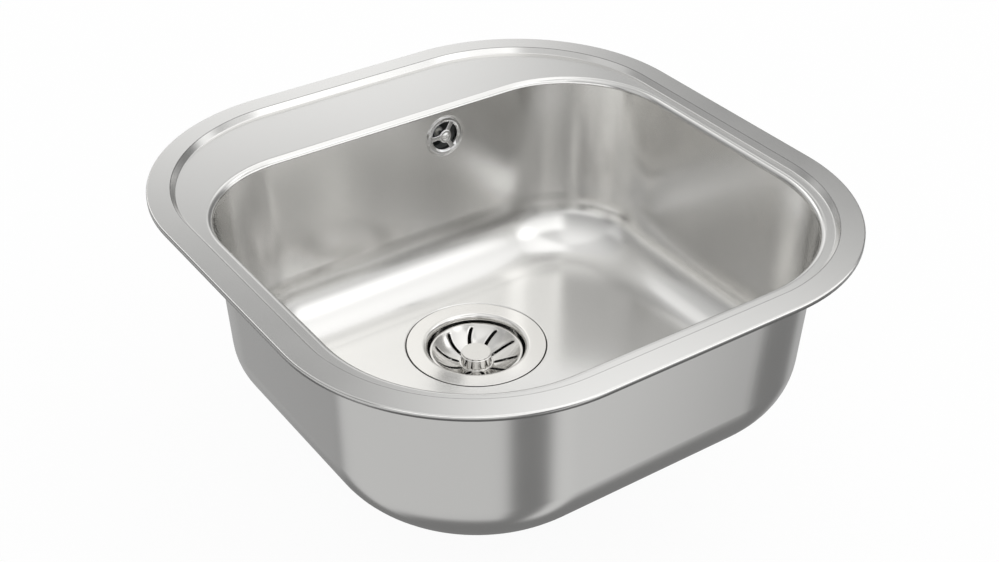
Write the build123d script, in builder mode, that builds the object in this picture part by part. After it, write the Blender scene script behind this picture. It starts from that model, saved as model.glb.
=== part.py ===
"""Inset kitchen sink: pressed bowl, basket strainer, waste body and overflow, in millimetres.

The origin is the middle of the rim on the worktop's surface. +X runs to the right along the front,
+Y to the back and +Z up.
"""

import os
from math import atan2, cos, degrees, hypot, pi, radians, sin, tan

from build123d import *

os.makedirs("parts", exist_ok=True)

# ---- rim
rim_width = 465.0
rim_length = 480.0
rim_corner = 150.0
sheet = 1.0
lip_height = 2.8  # top of the outer lip above the worktop
lip_round = 1.4
crease_inset = 18.0
crease_height = 4.0
step_run = 4.0  # the step from the crease down to the deck
step_drop = 4.7
step_round = 1.6  # at the foot of the step
crease_round = 1.1

# ---- bowl
side_ledge = 32.5  # from the rim's side to the bowl
front_ledge = 32.5
back_ledge = 93.5
front_corner = 116.0
back_corner = 88.0
bowl_depth = 156.0  # from the worktop to the floor
draft = 2.5  # degrees, each wall
edge_roll = 5.0  # rolled edge between deck and wall
floor_round = 45.0

# ---- drain recess in the floor
drain_setback = 114.5  # drain centre from the bowl's back edge
recess_radius = 59.0
recess_depth = 2.5
drain_hole_radius = 44.0
recess_edge = 0.8

# ---- strainer cup
flange_radius = 57.5
flange_gasket_height = 1.5
cup_sheet = 1.0
throat_radius = 40.5
throat_round = 6.0
cup_depth = 40.0
cup_round = 6.0
outlet_hole_radius = 6.5
outlet_hole_circle = 16.0
outlet_holes = 6

# ---- waste body
lower_gasket_height = 2.5
gasket_gap = 0.5  # from the cup's roll to the gaskets' bore
body_gap = 3.5  # from the cup to the body's bore
body_flange_reach = 8.0
body_flange_height = 4.0
body_wall = 3.0
body_height = 46.0  # straight part, from under the lower gasket
funnel_height = 22.0
outlet_radius = 23.9
outlet_wall = 3.4
outlet_length = 34.0
outlet_thread_length = 25.0
outlet_pitch = 2.3
outlet_thread_depth = 0.8
boss_radius = 10.0
boss_height = 24.0
boss_rib = 4.0
rib_turn = 60.0  # degrees from the overflow branch to the first rib
boss_ribs = 3
boss_gap = 14.0  # from the cup's underside to the boss
rib_drop = 2.0  # ribs' tops below the boss's top
boss_bore = 4.6

# ---- centre screw and its nut
screw_radius = 4.0
screw_head_radius = 9.0
screw_head_height = 6.0
screw_head_edge = 1.0
insert_radius = 6.5
insert_length = 14.0
screw_overrun = 3.7  # screw's end past its nut
thread_clearance = 0.05
socket_radius = 2.6
socket_depth = 15.0

# ---- basket
pan_radius = 38.0
pan_sheet = 0.8
pan_lip = 1.2
pan_drop = 6.3  # pan's lip below the flange's top
pan_floor_drop = 19.0  # pan's middle below the flange's top
pan_floor_radius = 13.5
pan_sag = 2.0  # bow of the dish between its lip and its middle
slot_count = 10
slot_width = 2.6
slot_inner_radius = 16.0
slot_outer_radius = 33.0
slot_sweep = 8.0  # degrees from a slot's outer end to its inner end
slot_lead = 6.0  # degrees from its outer end to its middle
slot_start = 64.0

knob_radius = 12.0
knob_drop = 8.0  # knob's top below the flange's top
knob_cavity_radius = 6.0
knob_cavity_height = 4.0
knob_cap = 2.2
knob_edge = 0.5
knob_skirt_radius = 11.2
knob_collar_radius = 13.2
knob_collar_height = 1.4
flute_count = 16
flute_radius = 1.1

stem_radius = 4.0
stem_clearance = 0.06
stem_head_radius = 5.6
stem_head_height = 2.0
stem_play = 0.3  # pan's play between the stem's head and shoulder
stem_step_radius = 3.0  # through the stopper's disc
shoulder_radius = 6.0
shoulder_height = 3.0
pin_radius = 2.3
pin_length = 12.0
pin_point = 1.2
stopper_radius = 30.0
stopper_plate = 1.6
stopper_skirt = 5.0
seal_height = 4.0
seal_outer_radius = 31.5
seal_inner_radius = 25.5
seal_lip = 1.3
seat_gap = 0.3
clip_height = 1.2
clip_radius = 5.2
ring_wire = 0.45
ring_sink = 0.22  # ring's groove in the pin
ring_drop = 4.0  # ring below the clip

# ---- overflow
overflow_x = 45.0
overflow_z = -27.0
dimple_radius = 20.5
dimple_depth = 1.0
dimple_edge = 0.6
overflow_hole_radius = 13.0
rosette_radius = 17.5
rosette_height = 3.2
rosette_bore = 12.6
rosette_groove_radius = 15.0
rosette_groove = 0.9
rosette_spigot = 3.0
rosette_spigot_wall = 1.0
rosette_edge = 1.1
spoke_count = 3
spoke_width = 3.8
spoke_thickness = 2.0
spoke_lift = 0.4
spoke_start = 72.0  # degrees, the spoke that points up
hub_radius = 5.2
hub_height = 4.4
hub_edge = 1.0
overflow_screw_radius = 2.0
overflow_screw_head = 3.4
overflow_screw_length = 21.0
screw_slot = 0.9
screw_slot_depth = 1.0
overflow_gasket_height = 2.5
overflow_gasket_radius = 21.0
elbow_flange_height = 3.0
elbow_flange_radius = 21.5
elbow_radius = 17.0
elbow_wall = 2.5
elbow_depth = 30.0
elbow_axis = 17.5  # spigot's axis behind the elbow's flange
elbow_boss_radius = 4.6
elbow_boss_gap = 6.0  # boss's tip behind the elbow's flange
elbow_insert_radius = 3.2
elbow_insert_length = 8.0
groove_share = 0.4  # half of a thread groove's width, as a share of its pitch

# ---- union nuts, washers and hose
spigot_radius = 13.0
spigot_bore = 8.5
spigot_length = 14.0
spigot_thread_length = 12.0
spigot_pitch = 2.0
spigot_thread_depth = 0.6
elbow_drop = 10.0  # from the elbow's underside to the shoulder of its spigot
branch_drop = 28.0  # branch's axis below the body's flange
branch_reach = 8.0  # from the body's wall to the shoulder of its spigot
neck_radius = 11.5
washer_height = 2.0
collar_height = 2.5
collar_radius = 12.4
nut_radius = 16.5
nut_length = 17.0
nut_end = 2.5
nut_clearance = 0.15
nut_grips = 10
nut_grip_depth = 1.2
hose_radius = 11.0
hose_root_radius = 9.6
hose_bore_radius = 8.3
hose_bend = 46.0
rib_pitch = 4.4
rib_crest = 0.34  # share of a rib's pitch on its crest

# ---- seal, brackets and pad
seal_inset = 2.2
seal_width = 10.0
bracket_length = 26.0
bracket_height = 9.0
bracket_shelf = 8.0
bracket_sheet = 1.2
bracket_slot_length = 12.0
bracket_slot_width = 3.2
bracket_slot_inset = 4.4
bracket_spacing = 90.0
back_bracket_spacing = 176.0
bracket_drop = 0.3  # below the rolled edge
pad_width = 200.0
pad_length = 84.0
pad_corner = 14.0
pad_height = 2.0
pad_gap = 16.0  # from the drain recess to the pad

# ---- places worked out from the sizes
slope = tan(radians(draft))
deck_top = crease_height - step_drop
step_foot = crease_inset + step_run
floor_top = -bowl_depth
bowl_width = rim_width - 2 * side_ledge
bowl_length = rim_length - front_ledge - back_ledge
bowl_y = (back_ledge - front_ledge) / -2
bowl_back = bowl_y + bowl_length / 2
drain_y = bowl_back - drain_setback
recess_top = floor_top - recess_depth
flange_top = recess_top + flange_gasket_height + cup_sheet
cup_floor = flange_top - cup_depth
cup_under = cup_floor - cup_sheet
cup_radius = throat_radius + cup_sheet
gasket_bore = cup_radius + throat_round + gasket_gap
body_radius = cup_radius + body_gap + body_wall
body_flange_radius = body_radius + body_flange_reach
body_top = recess_top - sheet - lower_gasket_height
funnel_top = body_top - body_height
outlet_top = funnel_top - funnel_height
outlet_end = outlet_top - outlet_length
boss_top = cup_under - boss_gap
screw_end = boss_top - insert_length - screw_overrun
pan_lip_top = flange_top - pan_drop
pan_floor_top = flange_top - pan_floor_drop
pan_under = pan_floor_top - pan_sheet
knob_top = flange_top - knob_drop
seal_under = cup_floor + seat_gap
plate_top = seal_under + seal_height + stopper_skirt
plate_under = plate_top - stopper_plate
drain = Plane((0, drain_y, 0))


def wall_run(z):
    """How far a wall has come in from the bowl's edge at the height z."""
    return (deck_top - z) * slope


# the back wall's inside at the overflow: x along the wall, y up and z into the bowl
overflow = Plane(
    (overflow_x, bowl_back - wall_run(overflow_z), overflow_z),
    x_dir=(1, 0, 0),
    z_dir=(0, -cos(radians(draft)), sin(radians(draft))),
)
dimple = overflow.offset(-dimple_depth)
wall_back = dimple.offset(-sheet)
elbow_face = wall_back.offset(-overflow_gasket_height)
elbow_middle = elbow_face.offset(-elbow_axis).origin
elbow_boss_tip = elbow_face.offset(-elbow_boss_gap)

# the unions: z runs along the hose, away from the spigot's end
spigot_end_z = elbow_middle.Z - elbow_radius - elbow_drop - spigot_length
upper_union = Plane(
    (elbow_middle.X, elbow_middle.Y, spigot_end_z), x_dir=(1, 0, 0), z_dir=(0, 0, -1)
)
branch_z = body_top - body_flange_height - branch_drop
hose_angle = atan2(elbow_middle.Y - drain_y, elbow_middle.X)
hose_distance = hypot(elbow_middle.Y - drain_y, elbow_middle.X)
branch_way = Vector(cos(hose_angle), sin(hose_angle), 0)
branch_end = body_radius + branch_reach + spigot_length
lower_union = Plane(
    Vector(0, drain_y, branch_z) + branch_way * branch_end, x_dir=(0, 0, 1), z_dir=branch_way
)


def section(place):
    """The plane through a place's axis, with x outwards and y along the axis."""
    return Plane(place.origin, x_dir=place.x_dir, z_dir=place.x_dir.cross(place.z_dir))


def turned(place, *outline, mode=Mode.ADD):
    """Turn an outline, given as radius and height, round a place's axis."""
    with BuildSketch(section(place)) as half:
        with BuildLine():
            Polyline(*outline, close=True)
        make_face()
    revolve(half.sketch, axis=Axis(place.origin, place.z_dir), mode=mode)


def ring(place, bore, radius, height):
    """A flat ring that stands on a place."""
    with BuildSketch(place) as flat:
        Circle(radius)
        Circle(bore, mode=Mode.SUBTRACT)
    extrude(flat.sketch, amount=height)


def threads(place, radius, length, pitch, depth):
    """Cut ring grooves in a spigot, from the place at its end back along its axis."""
    with BuildSketch(section(place)) as grooves:
        for turn in range(int(length / pitch)):
            middle = -(turn + 1 / 2) * pitch
            with BuildLine():
                Polyline(
                    (radius - depth, middle),
                    (radius, middle + groove_share * pitch),
                    (radius, middle - groove_share * pitch),
                    close=True,
                )
            make_face()
    revolve(grooves.sketch, axis=Axis(place.origin, place.z_dir), mode=Mode.SUBTRACT)


def keep(piece, name):
    """Label a finished piece and write it."""
    piece.part.label = name
    export_step(piece.part, f"parts/{name}.step")
    print(name, round(piece.part.volume), len(piece.part.solids()), piece.part.is_valid)


def bowl_outline(z, grow):
    """The bowl's outline at the height z, larger all round by grow."""
    reach = 2 * (grow - wall_run(z))
    with BuildSketch(Plane.XY.offset(z)) as outline:
        with Locations((0, bowl_y)):
            Rectangle(bowl_width + reach, bowl_length + reach)
        fillet(outline.vertices().group_by(Axis.Y)[0], front_corner + grow)
        fillet(outline.vertices().group_by(Axis.Y)[-1], back_corner + grow)
    return outline.sketch


def bowl_mouth(piece, z):
    """The edges of the bowl's opening in the flat face at the height z."""
    flat = piece.faces().filter_by(Axis.Z)
    return flat.filter_by_position(Axis.Z, z - 0.01, z + 0.01)[0].inner_wires()[0].edges()


def circles(piece, radius):
    """The round edges of one radius."""
    round_edges = piece.edges().filter_by(GeomType.CIRCLE)
    return round_edges.filter_by(lambda edge: abs(edge.radius - radius) < 0.01)


# ---- the rim's outline, and the section that runs round it
with BuildSketch() as rim_outline:
    RectangleRounded(rim_width, rim_length, rim_corner)
rim_wire = rim_outline.wire()
rim_along = rim_wire % 0
rim_section = Plane(
    rim_wire @ 0, x_dir=rim_along.cross(Vector(0, 0, 1)), z_dir=rim_along * -1
)


def under_band(inset):
    """The height of the rising band's underside, inset from the rim's edge."""
    rise = (crease_height - lip_height) / crease_inset
    return lip_height + rise * inset - sheet * hypot(1, rise)


# ---- sink_pressing: one sheet, from the turned-down lip to the drain recess
with BuildPart() as bowl_inside:
    loft([bowl_outline(deck_top, 0), bowl_outline(floor_top, 0)], ruled=True)
    fillet(bowl_inside.edges().group_by(Axis.Z)[0], floor_round)
with BuildPart() as sink_pressing:
    # deck, and the bowl's outside
    with BuildSketch(Plane.XY.offset(deck_top)):
        RectangleRounded(
            rim_width - 2 * step_foot, rim_length - 2 * step_foot, rim_corner - step_foot
        )
    extrude(amount=-sheet)
    loft([bowl_outline(deck_top, sheet), bowl_outline(floor_top - sheet, sheet)], ruled=True)
    fillet(sink_pressing.edges().group_by(Axis.Z)[0], floor_round + sheet)
    fillet(bowl_mouth(sink_pressing, deck_top - sheet), edge_roll - sheet)
    # the drain recess and the overflow's dimple stand out on the underside
    with BuildSketch(drain.offset(recess_top - sheet)):
        Circle(recess_radius + sheet)
    extrude(amount=recess_depth + sheet)
    with BuildSketch(wall_back):
        Circle(dimple_radius + sheet)
    extrude(amount=dimple_depth + sheet)
    add(bowl_inside.part, mode=Mode.SUBTRACT)
    fillet(bowl_mouth(sink_pressing, deck_top), edge_roll)
    # lip, rising band, crease and step
    with BuildSketch(rim_section) as band:
        with BuildLine():
            upper_side = Polyline(
                (0, 0),
                (0, lip_height),
                (-crease_inset, crease_height),
                (-step_foot, deck_top),
                (-step_foot - sheet, deck_top),
            )
            offset(upper_side, amount=sheet, side=Side.LEFT, kind=Kind.INTERSECTION)
        make_face()
        for corner, size in (
            ((0, lip_height), lip_round),
            ((-crease_inset, crease_height), crease_round),
            ((-step_foot, deck_top), step_round),
        ):
            fillet(band.vertices().sort_by_distance(corner)[0], size)
    sweep(path=rim_wire)
    # recess, dimple and their holes
    with BuildSketch(drain.offset(recess_top)):
        Circle(recess_radius)
    extrude(amount=recess_depth + sheet, mode=Mode.SUBTRACT)
    with BuildSketch(drain.offset(recess_top - 2 * sheet)):
        Circle(drain_hole_radius)
    extrude(amount=recess_depth + 3 * sheet, mode=Mode.SUBTRACT)
    with BuildSketch(dimple):
        Circle(dimple_radius)
    extrude(amount=dimple_depth + sheet, mode=Mode.SUBTRACT)
    with BuildSketch(wall_back.offset(-sheet)):
        Circle(overflow_hole_radius)
    extrude(amount=dimple_depth + 3 * sheet, mode=Mode.SUBTRACT)
    fillet(circles(sink_pressing, recess_radius), recess_edge)
    fillet(circles(sink_pressing, dimple_radius), dimple_edge)
keep(sink_pressing, "sink_pressing")

# ---- rim_seal: soft strip that fills the band's hollow down to the worktop
with BuildPart() as rim_seal:
    with BuildSketch(rim_section):
        with BuildLine():
            Polyline(
                (-seal_inset, 0),
                (-seal_inset, under_band(seal_inset)),
                (-seal_inset - seal_width, under_band(seal_inset + seal_width)),
                (-seal_inset - seal_width, 0),
                close=True,
            )
        make_face()
    sweep(path=rim_wire)
keep(rim_seal, "rim_seal")

# ---- clip_brackets: angles welded to the bowl under the rim, with a slot for a clip's hook
bracket_top = deck_top - edge_roll - bracket_drop
bracket_foot = bracket_top - bracket_height
with BuildPart() as clip_brackets:
    for out, half, spacing in (
        (Vector(1, 0, 0), bowl_width / 2, bracket_spacing),
        (Vector(-1, 0, 0), bowl_width / 2, bracket_spacing),
        (Vector(0, -1, 0), bowl_length / 2, bracket_spacing),
        (Vector(0, 1, 0), bowl_length / 2, back_bracket_spacing),
    ):
        along = out.cross(Vector(0, 0, 1))
        flat_middle = bowl_y + (front_corner - back_corner) / 2 if out.Y == 0 else bowl_y
        for side in (-spacing / 2, spacing / 2):
            place = Plane(Vector(0, flat_middle, 0) + along * side, x_dir=out, z_dir=along)
            top_reach = half + sheet - wall_run(bracket_top)
            foot_reach = half + sheet - wall_run(bracket_foot)
            with BuildSketch(place):
                with BuildLine():
                    Polyline(
                        (top_reach, bracket_top),
                        (top_reach + bracket_sheet, bracket_top),
                        (foot_reach + bracket_sheet, bracket_foot + bracket_sheet),
                        (foot_reach + bracket_shelf, bracket_foot + bracket_sheet),
                        (foot_reach + bracket_shelf, bracket_foot),
                        (foot_reach, bracket_foot),
                        close=True,
                    )
                make_face()
            extrude(amount=bracket_length / 2, both=True)
            slot_middle = out * (foot_reach + bracket_slot_inset) + Vector(0, 0, bracket_foot)
            with BuildSketch(Plane(place.origin + slot_middle, x_dir=along)):
                SlotOverall(bracket_slot_length, bracket_slot_width)
            extrude(amount=bracket_sheet, mode=Mode.SUBTRACT)
keep(clip_brackets, "clip_brackets")

# ---- sound_pad: stuck under the floor, in front of the drain
with BuildPart() as sound_pad:
    pad_back = drain_y - recess_radius - sheet - pad_gap
    with BuildSketch(Plane.XY.offset(floor_top - sheet)):
        with Locations((0, pad_back - pad_length / 2)):
            RectangleRounded(pad_width, pad_length, pad_corner)
    extrude(amount=-pad_height)
keep(sound_pad, "sound_pad")

# ---- flange_gasket and lower_gasket: above and below the recess
with BuildPart() as flange_gasket:
    ring(drain.offset(recess_top), gasket_bore, flange_radius - sheet, flange_gasket_height)
keep(flange_gasket, "flange_gasket")

with BuildPart() as lower_gasket:
    ring(drain.offset(body_top), gasket_bore, body_flange_radius, lower_gasket_height)
keep(lower_gasket, "lower_gasket")

# ---- waste_flange: strainer cup pressed from one sheet, with its outlet holes
with BuildPart() as waste_flange:
    lip_under = flange_top - cup_sheet
    with BuildSketch(section(drain)) as cup_sheet_section:
        with BuildLine():
            Polyline(
                (0, cup_floor),
                (throat_radius, cup_floor),
                (throat_radius, flange_top),
                (flange_radius, flange_top),
                (flange_radius, lip_under),
                (cup_radius, lip_under),
                (cup_radius, cup_under),
                (0, cup_under),
                close=True,
            )
        make_face()
        for corner, size in (
            ((throat_radius, cup_floor), cup_round),
            ((cup_radius, cup_under), cup_round + cup_sheet),
            ((cup_radius, lip_under), throat_round),
            ((throat_radius, flange_top), throat_round + cup_sheet),
        ):
            fillet(cup_sheet_section.vertices().sort_by_distance(corner)[0], size)
    revolve(axis=Axis(drain.origin, drain.z_dir))
    with BuildSketch(drain.offset(cup_under)):
        Circle(screw_radius + nut_clearance)
        with PolarLocations(outlet_hole_circle, outlet_holes):
            Circle(outlet_hole_radius)
    extrude(amount=cup_sheet, mode=Mode.SUBTRACT)
keep(waste_flange, "waste_flange")

# ---- waste_body: flange, body, funnel and threaded outlet, with the screw's boss on ribs
body_bore = body_radius - body_wall
outlet_bore = outlet_radius - outlet_wall
wall_step = body_wall * tan(atan2(body_radius - outlet_radius, funnel_height) / 2)
with BuildPart() as body_hollow:
    turned(
        drain,
        (0, body_top),
        (body_bore, body_top),
        (body_bore, funnel_top + wall_step),
        (outlet_bore, outlet_top + wall_step),
        (outlet_bore, outlet_end),
        (0, outlet_end),
    )
    with BuildSketch(drain.offset(boss_top)):
        Circle(boss_radius)
    extrude(amount=-boss_height, mode=Mode.SUBTRACT)
    with BuildSketch(drain.offset(boss_top - rib_drop)):
        with PolarLocations(body_radius / 2, boss_ribs, start_angle=degrees(hose_angle) + rib_turn):
            Rectangle(body_radius, boss_rib)
    extrude(amount=rib_drop - boss_height, mode=Mode.SUBTRACT)
with BuildPart() as waste_body:
    turned(
        drain,
        (0, body_top),
        (body_flange_radius, body_top),
        (body_flange_radius, body_top - body_flange_height),
        (body_radius, body_top - body_flange_height),
        (body_radius, funnel_top),
        (outlet_radius, outlet_top),
        (outlet_radius, outlet_end),
        (0, outlet_end),
    )
    with BuildSketch(Plane((0, drain_y, branch_z), x_dir=(0, 0, 1), z_dir=branch_way)):
        Circle(neck_radius)
    extrude(amount=body_radius + branch_reach)
    with BuildSketch(lower_union):
        Circle(spigot_radius)
    extrude(amount=-spigot_length)
    add(body_hollow.part, mode=Mode.SUBTRACT)
    with BuildSketch(lower_union):
        Circle(spigot_bore)
    extrude(amount=body_bore - branch_end - body_wall / 2, mode=Mode.SUBTRACT)
    with BuildSketch(drain.offset(boss_top)):
        Circle(boss_bore)
    extrude(amount=-boss_height, mode=Mode.SUBTRACT)
    with BuildSketch(drain.offset(boss_top)):
        Circle(insert_radius)
    extrude(amount=-insert_length, mode=Mode.SUBTRACT)
    outlet = Plane((0, drain_y, outlet_end), x_dir=(1, 0, 0), z_dir=(0, 0, -1))
    threads(outlet, outlet_radius, outlet_thread_length, outlet_pitch, outlet_thread_depth)
    threads(
        lower_union, spigot_radius, spigot_thread_length, spigot_pitch, spigot_thread_depth
    )
keep(waste_body, "waste_body")

# ---- body_insert and centre_screw: they pull the cup and the body together
with BuildPart() as body_insert:
    ring(
        drain.offset(boss_top - insert_length),
        screw_radius + thread_clearance,
        insert_radius,
        insert_length,
    )
keep(body_insert, "body_insert")

with BuildPart() as centre_screw:
    head_top = cup_floor + screw_head_height
    turned(
        drain,
        (0, head_top),
        (screw_head_radius - screw_head_edge, head_top),
        (screw_head_radius, head_top - screw_head_edge),
        (screw_head_radius, cup_floor),
        (screw_radius, cup_floor),
        (screw_radius, screw_end),
        (0, screw_end),
    )
    with BuildSketch(drain.offset(head_top)):
        Circle(socket_radius)
    extrude(amount=-socket_depth, mode=Mode.SUBTRACT)
keep(centre_screw, "centre_screw")

# ---- basket_pan: dished, with a small flat lip and swirled slots
with BuildPart() as basket_pan:
    lip_inner = pan_radius - pan_lip
    pan_rise = pan_lip_top - pan_floor_top
    dish_middle = (
        (lip_inner + pan_floor_radius) / 2,
        pan_floor_top + pan_rise / 2 - pan_sag,
    )
    with BuildSketch(section(drain)):
        with BuildLine():
            Polyline((pan_radius, pan_lip_top), (lip_inner, pan_lip_top))
            ThreePointArc(
                (lip_inner, pan_lip_top), dish_middle, (pan_floor_radius, pan_floor_top)
            )
            Polyline(
                (pan_floor_radius, pan_floor_top),
                (stem_radius + stem_clearance, pan_floor_top),
                (stem_radius + stem_clearance, pan_under),
                (pan_floor_radius, pan_under),
            )
            ThreePointArc(
                (pan_floor_radius, pan_under),
                (dish_middle[0], dish_middle[1] - pan_sheet),
                (lip_inner, pan_lip_top - pan_sheet),
            )
            Polyline(
                (lip_inner, pan_lip_top - pan_sheet),
                (pan_radius, pan_lip_top - pan_sheet),
                (pan_radius, pan_lip_top),
            )
        make_face()
    revolve(axis=Axis(drain.origin, drain.z_dir))
    with BuildSketch(drain.offset(pan_under)):
        with BuildLine():
            slot_line = ThreePointArc(
                PolarLine((0, 0), slot_outer_radius, slot_start, mode=Mode.PRIVATE) @ 1,
                PolarLine(
                    (0, 0),
                    (slot_outer_radius + slot_inner_radius) / 2,
                    slot_start + slot_lead,
                    mode=Mode.PRIVATE,
                )
                @ 1,
                PolarLine(
                    (0, 0), slot_inner_radius, slot_start + slot_sweep, mode=Mode.PRIVATE
                )
                @ 1,
            )
        with PolarLocations(0, slot_count):
            SlotArc(slot_line, slot_width)
    extrude(amount=pan_floor_drop, mode=Mode.SUBTRACT)
keep(basket_pan, "basket_pan")

# ---- basket_knob: flat cap, fluted skirt and collar, hollow round the stem's head
with BuildPart() as basket_knob:
    skirt_foot = pan_floor_top + knob_collar_height
    turned(
        drain,
        (0, knob_top),
        (knob_radius - knob_edge, knob_top),
        (knob_radius, knob_top - knob_edge),
        (knob_radius, knob_top - knob_cap),
        (knob_skirt_radius, knob_top - knob_cap),
        (knob_skirt_radius, skirt_foot),
        (knob_collar_radius, skirt_foot),
        (knob_collar_radius, pan_floor_top),
        (0, pan_floor_top),
    )
    with BuildSketch(drain.offset(skirt_foot)):
        with PolarLocations(knob_skirt_radius, flute_count):
            Circle(flute_radius)
    extrude(until=Until.NEXT, mode=Mode.SUBTRACT)
    with BuildSketch(drain.offset(pan_floor_top)):
        Circle(knob_cavity_radius)
    extrude(amount=knob_cavity_height, mode=Mode.SUBTRACT)
keep(basket_knob, "basket_knob")

# ---- basket_stem: head in the knob, shoulder under the pan, step for the disc, and the pin
with BuildPart() as basket_stem:
    stem_head_under = pan_floor_top + stem_play
    stem_shoulder_top = pan_under - stem_play
    pin_end = plate_under - pin_length
    groove_z = plate_under - clip_height - ring_drop
    turned(
        drain,
        (0, stem_head_under + stem_head_height),
        (stem_head_radius, stem_head_under + stem_head_height),
        (stem_head_radius, stem_head_under),
        (stem_radius, stem_head_under),
        (stem_radius, stem_shoulder_top),
        (shoulder_radius, stem_shoulder_top),
        (shoulder_radius, stem_shoulder_top - shoulder_height),
        (stem_radius, stem_shoulder_top - shoulder_height),
        (stem_radius, plate_top),
        (stem_step_radius, plate_top),
        (stem_step_radius, plate_under),
        (pin_radius, plate_under),
        (pin_radius, pin_end + pin_point),
        (pin_radius - pin_point, pin_end),
        (0, pin_end),
    )
    with BuildSketch(section(drain)):
        with Locations((pin_radius - ring_sink, groove_z)):
            Circle(ring_wire)
    revolve(axis=Axis(drain.origin, drain.z_dir), mode=Mode.SUBTRACT)
keep(basket_stem, "basket_stem")

with BuildPart() as stem_ring:
    with BuildSketch(section(drain)):
        with Locations((pin_radius - ring_sink, groove_z)):
            Circle(ring_wire)
    revolve(axis=Axis(drain.origin, drain.z_dir))
keep(stem_ring, "stem_ring")

with BuildPart() as stem_clip:
    ring(drain.offset(plate_under - clip_height), pin_radius, clip_radius, clip_height)
    with BuildSketch(drain.offset(plate_under - clip_height)):
        with Locations((0, clip_radius)):
            Rectangle(2 * pin_radius, 2 * clip_radius - pin_radius)
    extrude(amount=clip_height, mode=Mode.SUBTRACT)
keep(stem_clip, "stem_clip")

# ---- stopper_disc and stopper_seal: they close the cup's outlet holes
seal_top = seal_under + seal_height
skirt_thickness = stopper_plate
with BuildPart() as stopper_disc:
    turned(
        drain,
        (stem_step_radius, plate_top),
        (stopper_radius - skirt_thickness, plate_top),
        (stopper_radius, plate_top - skirt_thickness),
        (stopper_radius, seal_top),
        (seal_inner_radius, seal_top),
        (seal_inner_radius, plate_under),
        (stem_step_radius, plate_under),
    )
keep(stopper_disc, "stopper_disc")

with BuildPart() as stopper_seal:
    turned(
        drain,
        (seal_inner_radius, seal_top),
        (stopper_radius, seal_top),
        (seal_outer_radius, seal_under + seal_lip),
        (seal_outer_radius, seal_under),
        (seal_inner_radius, seal_under),
    )
keep(stopper_seal, "stopper_seal")

# ---- overflow_rosette: ring with a groove, three spokes and a hub, and a short spigot
with BuildPart() as overflow_rosette:
    turned(
        dimple,
        (rosette_bore, 0),
        (rosette_radius, 0),
        (rosette_radius, rosette_height - rosette_edge),
        (rosette_radius - rosette_edge, rosette_height),
        (rosette_groove_radius + rosette_groove, rosette_height),
        (rosette_groove_radius, rosette_height - rosette_groove),
        (rosette_groove_radius - rosette_groove, rosette_height),
        (rosette_bore + rosette_groove, rosette_height),
        (rosette_bore, rosette_height - rosette_groove),
    )
    ring(
        dimple.offset(-rosette_spigot),
        rosette_bore - rosette_spigot_wall,
        rosette_bore,
        rosette_spigot + rosette_height - rosette_groove,
    )
    with BuildSketch(dimple.offset(spoke_lift)):
        with PolarLocations(rosette_bore / 2, spoke_count, start_angle=spoke_start):
            Rectangle(rosette_bore, spoke_width)
    extrude(amount=spoke_thickness)
    with BuildSketch(dimple.offset(spoke_lift)):
        Circle(hub_radius)
    extrude(amount=hub_height)
    hub_top = dimple.offset(spoke_lift + hub_height)
    turned(
        hub_top,
        (hub_radius - hub_edge, 0),
        (hub_radius + hub_edge, 0),
        (hub_radius + hub_edge, -2 * hub_edge),
        mode=Mode.SUBTRACT,
    )
    with Locations(hub_top):
        CounterSinkHole(overflow_screw_radius + nut_clearance, overflow_screw_head)
keep(overflow_rosette, "overflow_rosette")

# ---- overflow_screw: slotted, countersunk in the hub
with BuildPart() as overflow_screw:
    turned(
        hub_top,
        (0, 0),
        (overflow_screw_head - nut_clearance, 0),
        (overflow_screw_radius, nut_clearance + overflow_screw_radius - overflow_screw_head),
        (overflow_screw_radius, -overflow_screw_length),
        (0, -overflow_screw_length),
    )
    with BuildSketch(hub_top):
        Rectangle(2 * overflow_screw_head, screw_slot, rotation=spoke_start)
    extrude(amount=-screw_slot_depth, mode=Mode.SUBTRACT)
keep(overflow_screw, "overflow_screw")

# ---- overflow_gasket, overflow_elbow and elbow_insert: behind the wall
with BuildPart() as overflow_gasket:
    ring(elbow_face, overflow_hole_radius, overflow_gasket_radius, overflow_gasket_height)
keep(overflow_gasket, "overflow_gasket")

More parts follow.
